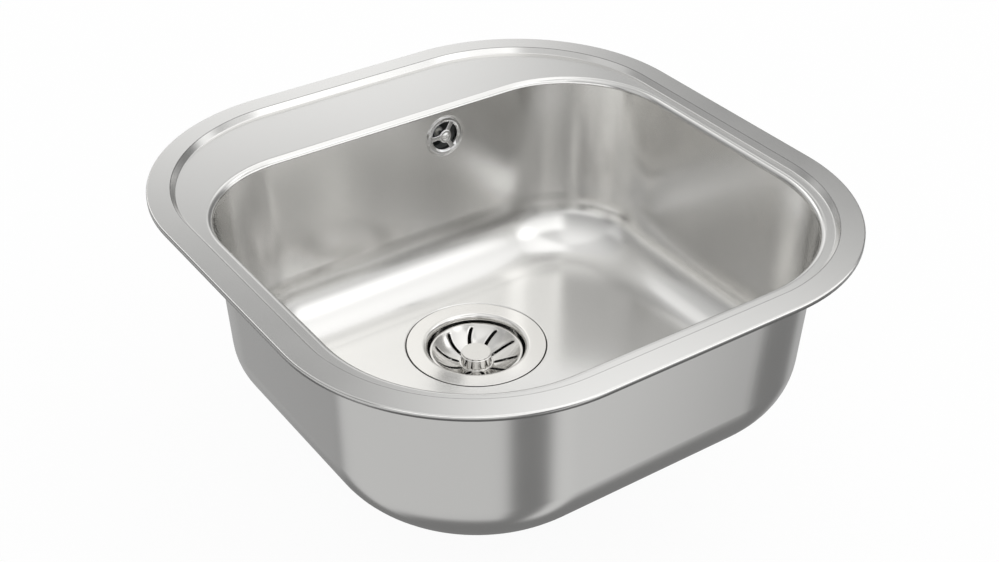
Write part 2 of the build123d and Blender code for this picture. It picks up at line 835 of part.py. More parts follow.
elbow_bore = elbow_radius - elbow_wall
elbow_back = elbow_face.offset(-elbow_depth)
with BuildPart() as overflow_elbow:
    with BuildSketch(elbow_face):
        Circle(elbow_flange_radius)
    extrude(amount=-elbow_flange_height)
    with BuildSketch(elbow_face):
        Circle(elbow_radius)
    extrude(amount=-elbow_depth)
    with BuildSketch(Plane.XY.offset(spigot_end_z)):
        with Locations((elbow_middle.X, elbow_middle.Y)):
            Circle(neck_radius)
    extrude(amount=elbow_middle.Z - spigot_end_z)
    with BuildSketch(Plane.XY.offset(spigot_end_z)):
        with Locations((elbow_middle.X, elbow_middle.Y)):
            Circle(spigot_radius)
    extrude(amount=spigot_length)
    with BuildSketch(elbow_face):
        Circle(elbow_bore)
    extrude(amount=elbow_wall - elbow_depth, mode=Mode.SUBTRACT)
    with BuildSketch(Plane.XY.offset(spigot_end_z)):
        with Locations((elbow_middle.X, elbow_middle.Y)):
            Circle(spigot_bore)
    extrude(amount=elbow_middle.Z - spigot_end_z, mode=Mode.SUBTRACT)
    with BuildSketch(elbow_back):
        Circle(elbow_boss_radius)
    extrude(amount=elbow_depth - elbow_boss_gap)
    with BuildSketch(elbow_boss_tip):
        Circle(overflow_screw_radius + nut_clearance)
    extrude(amount=elbow_boss_gap + elbow_wall - elbow_depth, mode=Mode.SUBTRACT)
    with BuildSketch(elbow_boss_tip):
        Circle(elbow_insert_radius)
    extrude(amount=-elbow_insert_length, mode=Mode.SUBTRACT)
    threads(
        upper_union, spigot_radius, spigot_thread_length, spigot_pitch, spigot_thread_depth
    )
keep(overflow_elbow, "overflow_elbow")

with BuildPart() as elbow_insert:
    ring(
        elbow_boss_tip.offset(-elbow_insert_length),
        overflow_screw_radius + thread_clearance,
        elbow_insert_radius,
        elbow_insert_length,
    )
keep(elbow_insert, "elbow_insert")

# ---- the unions at the hose's two ends: a washer and a nut each
for name, union in (("upper", upper_union), ("lower", lower_union)):
    with BuildPart() as hose_washer:
        ring(union, spigot_bore, collar_radius, washer_height)
    keep(hose_washer, f"{name}_hose_washer")
    nut_face = union.offset(washer_height + collar_height + nut_end)
    with BuildPart() as hose_nut:
        with BuildSketch(nut_face):
            Circle(nut_radius)
            with PolarLocations(nut_radius + nut_grip_depth, nut_grips):
                Circle(2 * nut_grip_depth, mode=Mode.SUBTRACT)
        extrude(amount=-nut_length)
        with BuildSketch(nut_face.offset(-nut_end)):
            Circle(spigot_radius + nut_clearance)
        extrude(amount=nut_end - nut_length, mode=Mode.SUBTRACT)
        with BuildSketch(nut_face):
            Circle(hose_radius + nut_clearance)
        extrude(amount=-nut_end, mode=Mode.SUBTRACT)
    keep(hose_nut, f"{name}_hose_nut")

# ---- overflow_hose: collar and plain cuff at each end, ribs between, and its bore
hose_start = upper_union.offset(washer_height)
hose_finish = lower_union.offset(washer_height)
across = Vector(0, 0, 1).cross(branch_way)
fall = hose_start.origin.Z - branch_z - hose_bend
bend_length = hose_bend * pi / 2
run = hose_distance - hose_bend - branch_end - washer_height
hose_length = fall + bend_length + run
bend_middle = Vector(0, drain_y, branch_z + hose_bend) + branch_way * (hose_distance - hose_bend)


def along_hose(distance):
    """The plane across the hose at a distance from its upper end."""
    if distance <= fall:
        return Plane(hose_start.origin - Vector(0, 0, distance), x_dir=across, z_dir=(0, 0, -1))
    turn = min((distance - fall) / hose_bend, pi / 2)
    middle = bend_middle + branch_way * hose_bend * cos(turn) - Vector(0, 0, hose_bend * sin(turn))
    way = branch_way * -sin(turn) - Vector(0, 0, cos(turn))
    past = max(distance - fall - bend_length, 0)
    return Plane(middle + way * past, x_dir=across, z_dir=way)


cuff = 2 * hose_radius + collar_height
rib_count = int((hose_length - 2 * cuff) / rib_pitch)
rib_start = (hose_length - rib_count * rib_pitch) / 2
slant = (1 - 2 * rib_crest) / 2
with BuildPart() as overflow_hose:
    stations = [(0, hose_radius), (rib_start - rib_pitch * slant, hose_radius)]
    for rib in range(rib_count):
        foot = rib_start + rib * rib_pitch
        stations += [
            (foot, hose_root_radius),
            (foot + rib_crest * rib_pitch, hose_root_radius),
            (foot + (rib_crest + slant) * rib_pitch, hose_radius),
            (foot + (2 * rib_crest + slant) * rib_pitch, hose_radius),
        ]
    last = rib_start + rib_count * rib_pitch
    stations += [
        (last, hose_root_radius),
        (last + rib_pitch * slant, hose_radius),
        (hose_length, hose_radius),
    ]
    for distance, radius in stations:
        with BuildSketch(along_hose(distance)):
            Circle(radius)
    loft(ruled=True)
    ring(hose_start, hose_bore_radius, collar_radius, collar_height)
    ring(hose_finish, hose_bore_radius, collar_radius, collar_height)
    with BuildLine() as bore_line:
        Line(along_hose(0).origin, along_hose(fall).origin)
        ThreePointArc(
            along_hose(fall).origin,
            along_hose(fall + bend_length / 2).origin,
            along_hose(fall + bend_length).origin,
        )
        Line(along_hose(fall + bend_length).origin, along_hose(hose_length).origin)
    with BuildSketch(along_hose(0)):
        Circle(hose_bore_radius)
    sweep(path=bore_line.wire(), mode=Mode.SUBTRACT)
keep(overflow_hose, "overflow_hose")
print("hose", round(hose_length, 1), "mm, ribs", rib_count)
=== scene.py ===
from math import asin, atan2, cos, hypot, pi, radians, sin, sqrt, tan

import bmesh
import bpy
from mathutils import Matrix, Vector


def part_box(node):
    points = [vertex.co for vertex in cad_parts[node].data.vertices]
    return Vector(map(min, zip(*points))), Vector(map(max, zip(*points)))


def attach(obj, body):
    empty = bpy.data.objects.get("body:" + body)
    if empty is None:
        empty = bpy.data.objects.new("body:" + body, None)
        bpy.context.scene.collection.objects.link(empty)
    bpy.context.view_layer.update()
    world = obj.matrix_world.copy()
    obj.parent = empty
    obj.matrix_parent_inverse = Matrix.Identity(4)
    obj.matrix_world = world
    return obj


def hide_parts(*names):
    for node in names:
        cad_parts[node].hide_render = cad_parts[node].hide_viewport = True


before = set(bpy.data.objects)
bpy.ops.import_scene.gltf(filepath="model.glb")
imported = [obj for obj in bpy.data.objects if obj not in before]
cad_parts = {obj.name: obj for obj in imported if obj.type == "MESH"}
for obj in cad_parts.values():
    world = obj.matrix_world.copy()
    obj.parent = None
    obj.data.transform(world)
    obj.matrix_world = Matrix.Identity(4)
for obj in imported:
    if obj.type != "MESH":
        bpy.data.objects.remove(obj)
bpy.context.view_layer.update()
mm = 0.001  # shapes are drawn in millimetres and scaled to metres when they are finished
pole = 0.01  # the radius of an outline's end on the axis, where its ring closes
nearby = 0.01  # points this close to each other or to a plane count as touching it
doubles = 0.002  # and points this close are merged when a piece is finished


def middleOf(node):
    low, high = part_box(node)
    return (low + high) / (2 * mm)


def sizeOf(node):
    low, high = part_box(node)
    return (high - low) / mm


def placeAt(origin, axis, along=(1, 0, 0)):
    # a matrix whose z runs along the axis, and its x as near along as it can
    z = Vector(axis).normalized()
    y = z.cross(Vector(along)).normalized()
    turned = Matrix((y.cross(z), y, z)).transposed().to_4x4()
    turned.translation = origin
    return turned


def roundedLine(corners, steps, hold=0):
    # each corner is (x, y, radius), and an arc's points take the place of a corner with a radius
    # hold adds a point this far from each arc on both straights, so that their shading stays flat
    points = []
    for i, (x, y, radius) in enumerate(corners):
        here = Vector((x, y))
        if radius == 0 or i in (0, len(corners) - 1):
            points.append(here)
            continue
        back = (Vector(corners[i - 1][:2]) - here).normalized()
        ahead = (Vector(corners[i + 1][:2]) - here).normalized()
        half = back.angle(ahead) / 2
        middle = here + (back + ahead).normalized() * radius / sin(half)
        start = here + back * radius / tan(half) - middle
        turn = start.angle_signed(here + ahead * radius / tan(half) - middle)
        if hold:
            points.append(here + back * (radius / tan(half) + hold))
        for step in range(steps + 1):
            angle = -turn * step / steps
            points.append(middle + Vector((start.x * cos(angle) - start.y * sin(angle),
                                           start.x * sin(angle) + start.y * cos(angle))))
        if hold:
            points.append(here + ahead * (radius / tan(half) + hold))
    return points


def roundedOutline(corners, steps=4):
    # the same for a closed outline, which starts and ends halfway along its first side
    (x, y, radius), (nextX, nextY, nextRadius) = corners[0], corners[1]
    halfway = ((x + nextX) / 2, (y + nextY) / 2, 0)
    return roundedLine([halfway, *corners[1:], corners[0], halfway], steps)


def lathe(bm, points, where, steps):
    # turn an outline of (radius, height) points round the z of a place
    verts = [bm.verts.new(where @ Vector((out, 0, up))) for out, up in points]
    edges = [bm.edges.new(pair) for pair in zip(verts, verts[1:]) if pair[0].co != pair[1].co]
    bmesh.ops.spin(bm, geom=verts + edges, cent=where.translation, axis=where.col[2].to_3d(),
                   dvec=(0, 0, 0), angle=2 * pi, steps=steps, use_merge=True, use_duplicate=False)


def growRings(bm, turns, rows, spot):
    # a loop of points, one at each turn, and a further loop for each row, placed by the spot function
    turnLayer = bm.verts.layers.float.get("turn") or bm.verts.layers.float.new("turn")
    loop = bmesh.ops.create_circle(bm, segments=len(turns), radius=1)["verts"]
    for vert, turn in zip(loop, turns):
        vert[turnLayer] = turn
        vert.co = spot(turn, *rows[0])
    edges = list(dict.fromkeys(edge for vert in loop for edge in vert.link_edges))
    return growOn(bm, edges, rows[1:], spot)


def growOn(bm, edges, rows, spot):
    turnLayer = bm.verts.layers.float["turn"]
    for row in rows:
        verts, edges = extrudeLoop(bm, edges)
        for vert in verts:
            vert.co = spot(vert[turnLayer], *row)
    return edges


def growCircles(bm, edges, where, points):
    # rings of (radius, height) round a place, from a loop of any shape, with evenly spaced points
    flat = where.inverted()
    for radius, height in points:
        verts, edges = extrudeLoop(bm, edges)
        turnOf = {vert: atan2((flat @ vert.co).y, (flat @ vert.co).x) for vert in verts}
        order = sorted(verts, key=turnOf.get)
        step = 2 * pi / len(order)
        first = sum(turnOf[vert] - i * step for i, vert in enumerate(order)) / len(order)
        for i, vert in enumerate(order):
            angle = first + i * step
            vert.co = where @ Vector((radius * cos(angle), radius * sin(angle), height))


def extrudeLoop(bm, edges):
    made = bmesh.ops.extrude_edge_only(bm, edges=edges)["geom"]
    verts = [part for part in made if isinstance(part, bmesh.types.BMVert)]
    fresh = set(verts)
    return verts, [part for part in made if isinstance(part, bmesh.types.BMEdge)
                   and fresh.issuperset(part.verts)]


def facesUp(bm):
    # turn the faces of an open shell so that most of them look up
    bmesh.ops.recalc_face_normals(bm, faces=bm.faces)
    if sum(face.normal.z * face.calc_area() for face in bm.faces) < 0:
        bmesh.ops.reverse_faces(bm, faces=bm.faces)


def finishPiece(bm, name, body, material, replaced, sharp=35, recalculate=True):
    # a shell that is still open has its faces turned already, so it comes with recalculate False
    bmesh.ops.remove_doubles(bm, verts=bm.verts, dist=doubles)
    if recalculate:
        bmesh.ops.recalc_face_normals(bm, faces=bm.faces)
    bmesh.ops.scale(bm, vec=(mm, mm, mm), verts=bm.verts)
    mesh = bpy.data.meshes.new(name)
    bm.to_mesh(mesh)
    bm.free()
    mesh.shade_smooth()
    mesh.set_sharp_from_angle(angle=radians(sharp))
    mesh.materials.append(material)
    piece = bpy.data.objects.new(name, mesh)
    bpy.context.scene.collection.objects.link(piece)
    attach(piece, body)
    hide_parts(replaced)
    return piece


def applyModifier(piece, kind, **settings):
    modifier = piece.modifiers.new(kind.lower(), kind)
    for key, value in settings.items():
        setattr(modifier, key, value)
    bpy.context.view_layer.update()
    graph = bpy.context.evaluated_depsgraph_get()
    made = bpy.data.meshes.new_from_object(piece.evaluated_get(graph))
    piece.modifiers.remove(modifier)
    old, name = piece.data, piece.data.name
    piece.data = made
    bpy.data.meshes.remove(old)
    made.name = name


def cutAway(piece, cutter, sharp=35):
    # take a closed bmesh shape, drawn in millimetres, away from a piece
    bmesh.ops.recalc_face_normals(cutter, faces=cutter.faces)
    bmesh.ops.scale(cutter, vec=(mm, mm, mm), verts=cutter.verts)
    mesh = bpy.data.meshes.new("cutter")
    cutter.to_mesh(mesh)
    cutter.free()
    tool = bpy.data.objects.new("cutter", mesh)
    bpy.context.scene.collection.objects.link(tool)
    applyModifier(piece, "BOOLEAN", object=tool, operation="DIFFERENCE", solver="EXACT")
    bpy.data.objects.remove(tool)
    bpy.data.meshes.remove(mesh)
    piece.data.set_sharp_from_angle(angle=radians(sharp))


def grainGroup():
    # a satin finish's fine grain and its slow cloudiness: a height for the bump and a share for the rest
    group = bpy.data.node_groups.new("satinGrain", "ShaderNodeTree")
    for name, way, value in (("Scale", "INPUT", 900.0), ("Cloud Scale", "INPUT", 14.0),
                             ("Height", "OUTPUT", 0), ("Share", "OUTPUT", 0)):
        socket = group.interface.new_socket(name=name, in_out=way, socket_type="NodeSocketFloat")
        if way == "INPUT":
            socket.default_value = value
    nodes, links = group.nodes, group.links
    start, end = nodes.new("NodeGroupInput"), nodes.new("NodeGroupOutput")
    where = nodes.new("ShaderNodeTexCoord")
    fine, cloud = nodes.new("ShaderNodeTexNoise"), nodes.new("ShaderNodeTexNoise")
    fine.inputs["Detail"].default_value = 3
    cloud.inputs["Detail"].default_value = 2
    for texture, scale in ((fine, "Scale"), (cloud, "Cloud Scale")):
        links.new(where.outputs["Object"], texture.inputs["Vector"])
        links.new(start.outputs[scale], texture.inputs["Scale"])
    both = nodes.new("ShaderNodeMath")
    both.operation = "ADD"
    links.new(fine.outputs["Fac"], both.inputs[0])
    links.new(cloud.outputs["Fac"], both.inputs[1])
    half = nodes.new("ShaderNodeMath")
    half.operation = "MULTIPLY"
    half.inputs[1].default_value = 0.5
    links.new(both.outputs[0], half.inputs[0])
    links.new(fine.outputs["Fac"], end.inputs["Height"])
    links.new(half.outputs[0], end.inputs["Share"])
    return group


grain = grainGroup()
finish = {"shareLow": 0.3, "shareHigh": 0.7, "tint": 0.03, "bumpDistance": 0.0002}


def makeFinish(name, colour, metallic, roughness, spread=0.04, scale=900.0, bump=0.02, line=0):
    # a finish: the shader, and the grain that varies its colour, roughness and normal, and where line is
    # given, painted shade: the colour times line where the mesh marks it
    material = bpy.data.materials.new(name)
    material.use_nodes = True
    nodes, links = material.node_tree.nodes, material.node_tree.links
    shader = nodes["Principled BSDF"]
    shader.inputs["Metallic"].default_value = metallic
    texture = nodes.new("ShaderNodeGroup")
    texture.node_tree = grain
    texture.inputs["Scale"].default_value = scale
    rough = nodes.new("ShaderNodeMapRange")
    rough.inputs["From Min"].default_value = finish["shareLow"]
    rough.inputs["From Max"].default_value = finish["shareHigh"]
    rough.inputs["To Min"].default_value = roughness - spread
    rough.inputs["To Max"].default_value = roughness + spread
    links.new(texture.outputs["Share"], rough.inputs["Value"])
    links.new(rough.outputs["Result"], shader.inputs["Roughness"])
    tint = nodes.new("ShaderNodeMix")
    tint.data_type = "RGBA"
    tint.inputs["A"].default_value = (*[c * (1 - finish["tint"]) for c in colour], 1)
    tint.inputs["B"].default_value = (*[min(1, c * (1 + finish["tint"])) for c in colour], 1)
    links.new(texture.outputs["Share"], tint.inputs["Factor"])
    links.new(tint.outputs["Result"], shader.inputs["Base Color"])
    if line:
        # painted shade: the attribute that the sink marks at the rim's crease darkens the colour there
        # to line times the colour
        drawn, darker = nodes.new("ShaderNodeAttribute"), nodes.new("ShaderNodeMix")
        drawn.attribute_name = "paintedCreaseShade"
        darker.data_type = "RGBA"
        darker.inputs["B"].default_value = (*[c * line for c in colour], 1)
        links.new(drawn.outputs["Fac"], darker.inputs["Factor"])
        links.new(tint.outputs["Result"], darker.inputs["A"])
        links.new(darker.outputs["Result"], shader.inputs["Base Color"])
    bumped = nodes.new("ShaderNodeBump")
    bumped.inputs["Strength"].default_value = bump
    bumped.inputs["Distance"].default_value = finish["bumpDistance"]
    links.new(texture.outputs["Height"], bumped.inputs["Height"])
    links.new(bumped.outputs["Normal"], shader.inputs["Normal"])
    return material


# the sink's satin steel; its last value, 0.4, is the share of its colour left in the painted shade along
# the rim's crease
satinSteel = makeFinish("satinSteel", (0.758, 0.753, 0.738), 1, 0.20, 0.02, 1400, 0.012, 0.4)
polishedSteel = makeFinish("polishedSteel", (0.77, 0.76, 0.74), 1, 0.15, 0.03)
basketSteel = makeFinish("basketSteel", (0.70, 0.69, 0.67), 1, 0.14, 0.02)
rawSteel = makeFinish("rawSteel", (0.62, 0.61, 0.58), 1, 0.42, 0.08)
chrome = makeFinish("chrome", (0.64, 0.64, 0.64), 1, 0.08, 0.02)
screwSteel = makeFinish("screwSteel", (0.74, 0.74, 0.73), 1, 0.25, 0.05)
brass = makeFinish("brass", (0.78, 0.6, 0.3), 1, 0.3, 0.05)
nickel = makeFinish("nickel", (0.60, 0.59, 0.56), 1, 0.32, 0.05)
blackPlastic = makeFinish("blackPlastic", (0.028, 0.028, 0.030), 0, 0.45, 0.06, 1600, 0.15)
greyPlastic = makeFinish("greyPlastic", (0.30, 0.31, 0.31), 0, 0.42, 0.06, 1600, 0.12)
hosePlastic = makeFinish("hosePlastic", (0.62, 0.62, 0.60), 0, 0.4, 0.05, 1200, 0.08)
blackRubber = makeFinish("blackRubber", (0.018, 0.018, 0.018), 0, 0.6, 0.06, 1500, 0.15)
sealFoam = makeFinish("sealFoam", (0.05, 0.05, 0.052), 0, 0.85, 0.05, 2500, 0.5)
padFelt = makeFinish("padFelt", (0.03, 0.03, 0.032), 0, 0.8, 0.05, 700, 0.5)

shownNodes = {  # solids that show as they are, in a finish
    "clip_brackets": rawSteel, "flange_gasket": blackRubber, "lower_gasket": blackRubber,
    "waste_body": blackPlastic, "body_insert": brass, "stem_clip": rawSteel,
    "overflow_gasket": blackRubber, "overflow_elbow": greyPlastic, "elbow_insert": nickel,
    "upper_hose_washer": blackRubber, "lower_hose_washer": blackRubber,
    "basket_stem": screwSteel, "stopper_disc": blackPlastic, "stopper_seal": blackRubber,
    "stem_ring": blackRubber, "centre_screw": screwSteel,
}
for node, material in shownNodes.items():
    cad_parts[node].data.materials.clear()
    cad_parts[node].data.materials.append(material)
print("materials ready")


# the pressed sink: loops round the rim and the bowl, each grown from the one before
sink = {
    "rimCorner": 150, "lip": 3.9, "lipRound": 1.0, "creaseIn": 18, "creaseUp": 4.0, "creaseRound": 0.4,
    "stepRun": 3.3, "deck": -0.7, "stepRound": 1.0, "hold": 0.3,
    "sideLedge": 32.5, "frontLedge": 32.5, "backLedge": 93.5, "frontCorner": 116, "backCorner": 88,
    "deckRun": 1, "floor": -156, "draft": radians(2.5), "roll": 5, "floorRound": 49,
    "recess": 58.2, "recessDeep": 2.5, "recessEdge": 1.1, "recessRun": 1.2, "drainHole": 44,
    "sheet": 1.0, "dimple": 18.2, "dimpleDeep": 1.0, "dimpleSlope": 0.3, "dimpleEdge": 0.4,
    "dimpleRun": 1.0, "overflowHole": 13, "patchSide": 10, "patchUnder": 3, "patchRows": 6,
    # the painted shade at the rim's crease reaches this share of the crease's rounding to each side of
    # it
    "paintedShadeWidth": 0.55, "cornerSteps": 30, "sideSteps": 28,
}
drain = middleOf("waste_flange")
drainPlace = placeAt((drain.x, drain.y, 0), (0, 0, 1))
rimHalfX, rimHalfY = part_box("sink_pressing")[1].x / mm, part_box("sink_pressing")[1].y / mm


def rimOutline(inset):
    corner = sink["rimCorner"] - inset
    return (rimHalfX - inset, inset - rimHalfY, rimHalfY - inset, corner, corner)


def wallRun(z):
    # how far the leaning wall has come in at a height
    return (sink["deck"] - max(z, sink["floor"])) * tan(sink["draft"])


def arcReach(radius):
    # how far an arc between the wall and the deck or the floor reaches along them
    return radius * tan(pi / 4 - sink["draft"] / 2)


def bowlOutline(inset, z):
    # the walls lean in and keep their corners' radius, and the floor's rounding takes it down
    shrink = inset - wallRun(z)
    return (rimHalfX - sink["sideLedge"] - inset, sink["frontLedge"] + inset - rimHalfY,
            rimHalfY - sink["backLedge"] - inset,
            sink["frontCorner"] - shrink, sink["backCorner"] - shrink)


def outlineSpot(turn, outline, z):
    # turn runs from 0 to 8: even stretches are corners, from the back right on, odd ones the sides
    half, front, back, frontCorner, backCorner = outline
    corners = [(half - backCorner, back - backCorner, backCorner),
               (backCorner - half, back - backCorner, backCorner),
               (frontCorner - half, front + frontCorner, frontCorner),
               (half - frontCorner, front + frontCorner, frontCorner)]

    def onCorner(corner, share):
        x, y, radius = corners[corner % 4]
        angle = (corner + share) * pi / 2
        return Vector((x + radius * cos(angle), y + radius * sin(angle), z))

    stretch, share = int(turn), turn - int(turn)
    if stretch % 2 == 0:
        return onCorner(stretch // 2, share)
    return onCorner(stretch // 2, 1).lerp(onCorner(stretch // 2 + 1, 0), share)


def outlineTurns(cornerSteps, sideSteps):
    stretch = [i / cornerSteps for i in range(cornerSteps)]
    stretch += [1 + i / sideSteps for i in range(sideSteps)]
    return [2 * corner + part for corner in range(4) for part in stretch]


def overflowPlace():
    # on the back wall's inside at the overflow: x along the wall and z into the bowl
    lean = sink["draft"]
    out = Vector((0, -cos(lean), sin(lean)))
    cover = middleOf("overflow_rosette")
    wall = Vector((cover.x, rimHalfY - sink["backLedge"], sink["deck"]))  # where the wall meets the deck
    along = Vector((0, -sin(lean), -cos(lean)))
    return placeAt(wall + along * (cover - wall).dot(along), out)


overflow = overflowPlace()


def rimLine():
    s = sink
    step = s["creaseIn"] + s["stepRun"]
    return roundedLine([
        (0, 0, 0), (0, s["lip"], s["lipRound"]), (s["creaseIn"], s["creaseUp"], s["creaseRound"]),
        (step, s["deck"], s["stepRound"]), (step + 2 * s["stepRound"], s["deck"], 0)], 7, s["hold"])


def bowlLine(top, bottom):
    # the wall has further points from top to bottom, where the overflow's patch lies
    s = sink
    reach = wallRun(s["floor"])
    line = roundedLine([
        (-s["roll"] - s["deckRun"], s["deck"], 0), (0, s["deck"], s["roll"]),
        (reach, s["floor"], s["floorRound"]),
        (reach + arcReach(s["floorRound"]) + 2 * s["hold"], s["floor"], 0)], 16, s["hold"])
    heights = [top + (bottom - top) * i / s["patchRows"] for i in range(1, s["patchRows"] + 1)]
    split = next(i for i, (inset, z) in enumerate(line) if z < bottom)
    line[split:split] = [(wallRun(z), z) for z in heights]
    return line


def addDimple(bm, top, bottom):
    # the overflow's dimple takes the place of a patch of the back wall
    s = sink
    flat = overflow.inverted()

    def onWall(vert):
        return abs((flat @ vert.co).z) < nearby

    def inPatch(vert):
        return (onWall(vert) and abs((flat @ vert.co).x) < s["dimple"] + s["patchSide"]
                and bottom - nearby < vert.co.z < top + nearby)

    patch = [face for face in bm.faces if all(map(inPatch, face.verts))]
    patchEdges = dict.fromkeys(edge for face in patch for edge in face.edges)
    bmesh.ops.delete(bm, geom=patch, context="FACES")
    border = [edge for edge in patchEdges if edge.is_valid and len(edge.link_faces) == 1]
    bmesh.ops.subdivide_edges(bm, edges=border, cuts=1)
    border = [edge for edge in bm.edges if len(edge.link_faces) == 1 and all(map(onWall, edge.verts))]
    dimple = roundedLine([
        (s["dimple"] + s["dimpleRun"], 0, 0), (s["dimple"], 0, s["dimpleEdge"]),
        (s["dimple"] - s["dimpleSlope"], -s["dimpleDeep"], s["dimpleEdge"]),
        (s["overflowHole"], -s["dimpleDeep"], 0)], 4)
    growCircles(bm, border, overflow, dimple)


def buildShell():
    s = sink
    top = s["deck"] - arcReach(s["roll"]) - s["hold"] * cos(s["draft"])
    bottom = overflow.translation.z - s["dimple"] - s["patchUnder"]
    rim = rimLine()
    loops = [(rimOutline(inset), z) for inset, z in rim]
    loops += [(bowlOutline(inset, z), z) for inset, z in bowlLine(top, bottom)]
    # the rim's rows at the crease, which get painted shade
    line = [i for i, (inset, z) in enumerate(rim)
            if abs(inset - s["creaseIn"]) < s["paintedShadeWidth"] * s["creaseRound"]]
    bm = bmesh.new()
    edges = growRings(bm, outlineTurns(s["cornerSteps"], s["sideSteps"]), loops[:line[0]], outlineSpot)
    paintedCreaseShade = bm.verts.layers.float.new("paintedCreaseShade")
    # painted shade along the rim's crease: its rows are marked 1, and new points take on the mark of
    # those that they grow from, so the loop past the line clears it
    for i in range(line[0], line[-1] + 2):
        edges = growOn(bm, edges, [loops[i]], outlineSpot)
        for vert in {vert for edge in edges for vert in edge.verts}:
            vert[paintedCreaseShade] = 1 if i in line else 0
    edges = growOn(bm, edges, loops[line[-1] + 2:], outlineSpot)
    under = s["floor"] - s["recessDeep"]
    growCircles(bm, edges, drainPlace, roundedLine([
        (s["recess"] + s["recessRun"], s["floor"], 0), (s["recess"], s["floor"], s["recessEdge"]),
        (s["recess"], under, s["recessEdge"]), (s["drainHole"], under, 0)], 5))
    addDimple(bm, top, bottom)
    facesUp(bm)
    return bm


shell = finishPiece(buildShell(), "sinkShell", "sink", satinSteel, "sink_pressing",
                    60, False)
applyModifier(shell, "SOLIDIFY", thickness=sink["sheet"] * mm, offset=-1, use_even_offset=True)
print("sink shell:", len(shell.data.polygons), "faces")


# rim seal and sound pad
underside = {"sealIn": 2.2, "sealWide": 10, "sealRound": 0.6, "padCorner": 14, "padEdge": 0.7}


def buildSeal():
    s, u = sink, underside
    rise = (s["creaseUp"] - s["lip"]) / s["creaseIn"]
    inner, outer = u["sealIn"] + u["sealWide"], u["sealIn"]

    def under(inset):
        return s["lip"] + rise * inset - s["sheet"] * hypot(1, rise)

    section = roundedOutline([(outer, 0, u["sealRound"]), (outer, under(outer), u["sealRound"]),
                              (inner, under(inner), u["sealRound"]), (inner, 0, u["sealRound"])])
    bm = bmesh.new()
    rows = [(rimOutline(inset), z) for inset, z in section]
    growRings(bm, outlineTurns(24, 12), rows, outlineSpot)
    return bm


def buildPad():
    low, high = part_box("sound_pad")
    half, middle = sizeOf("sound_pad") / 2, middleOf("sound_pad")
    top, bottom = high.z / mm, low.z / mm
    edge, corner = underside["padEdge"], underside["padCorner"]

    def outline(inset):
        return (half.x - inset, middle.y - half.y + inset, middle.y + half.y - inset,
                corner - inset, corner - inset)

    section = roundedLine([
        (edge, top, 0), (0, top, edge / 4), (0, bottom, edge), (2 * edge, bottom, 0)], 4)
    bm = bmesh.new()
    rows = [(outline(inset), z) for inset, z in section]
    last = growRings(bm, outlineTurns(8, 10), rows, outlineSpot)
    bmesh.ops.contextual_create(bm, geom=last)
    bmesh.ops.contextual_create(bm, geom=[edge for edge in bm.edges if len(edge.link_faces) == 1])
    return bm


seal = finishPiece(buildSeal(), "rimSealStrip", "sink", sealFoam, "rim_seal")
pad = finishPiece(buildPad(), "soundPadSheet", "sink", padFelt, "sound_pad")
print("seal and pad ready")


cup = {
    "flange": 57.5, "flangeTop": -156, "sheet": 1.0, "throat": 40.5, "throatRound": 3, "floor": -196,
    "floorRound": 6, "edge": 0.35, "hold": 0.1, "holes": 6, "hole": 6.5, "holeCircle": 16,
    "screwHole": 4.15,
}


def buildCup():
    c = cup
    sheet, outer = c["sheet"], c["throat"] + c["sheet"]
    under, bottom = c["flangeTop"] - sheet, c["floor"] - sheet
    section = roundedLine([
        (c["screwHole"], c["floor"], 0), (c["throat"], c["floor"], c["floorRound"]),
        (c["throat"], c["flangeTop"], c["throatRound"] + sheet),
        (c["flange"], c["flangeTop"], c["edge"]), (c["flange"], under, c["edge"]),
        (outer, under, c["throatRound"]),
        (outer, bottom, c["floorRound"] + sheet), (c["screwHole"], bottom, 0),
        (c["screwHole"], c["floor"], 0)], 10, c["hold"])
    bm = bmesh.new()
    lathe(bm, section, drainPlace, 128)
    return bm


def cupHoles():
    c = cup
    bm = bmesh.new()
    for i in range(c["holes"]):
        angle = 2 * pi * i / c["holes"]
        x, y = c["holeCircle"] * cos(angle), c["holeCircle"] * sin(angle)
        spot = (drain.x + x, drain.y + y, c["floor"])
        bmesh.ops.create_cone(bm, cap_ends=True, segments=48, radius1=c["hole"], radius2=c["hole"],
                              depth=6 * c["sheet"], matrix=Matrix.Translation(spot))
    return bm


strainerCup = finishPiece(buildCup(), "strainerCup", "sink", polishedSteel,
                          "waste_flange")
cutAway(strainerCup, cupHoles())
print("strainer cup ready")


# basket pan: one sector between two slots, turned round, with the slots' sides as its edges
pan = {
    "radius": 38.3, "lip": 1.7, "lipTop": -162.3, "lipRun": 1.2, "lipRound": 0.6, "middleTop": -175,
    "middle": 13.5, "middleRun": 2, "middleRound": 1.0, "sag": 2, "sheet": 0.8, "bore": 4.06,
    "slots": 10, "slotHalf": 1.6, "slotIn": 16, "slotOut": 33, "slotPast": 2, "slotRows": 20,
    "endRows": 6, "sweep": 8, "lead": 6, "start": 64, "columns": 8, "edge": 0.08,
}


def dishHeight(radius):
    # the arc through the dish's lip, its sagging middle and its flat centre
    p = pan
    lipIn = p["radius"] - p["lip"]
    a = Vector((lipIn, p["lipTop"]))
    b = Vector(((lipIn + p["middle"]) / 2, (p["middleTop"] + p["lipTop"]) / 2 - p["sag"]))
    c = Vector((p["middle"], p["middleTop"]))
    slopeOne, slopeTwo = b - a, c - b
    det = 2 * (slopeOne.x * slopeTwo.y - slopeOne.y * slopeTwo.x)
    one, two = b.length_squared - a.length_squared, c.length_squared - b.length_squared
    centre = Vector((one * slopeTwo.y - two * slopeOne.y, slopeOne.x * two - slopeTwo.x * one)) / det
    return centre.y - sqrt((a - centre).length_squared - (radius - centre.x) ** 2)


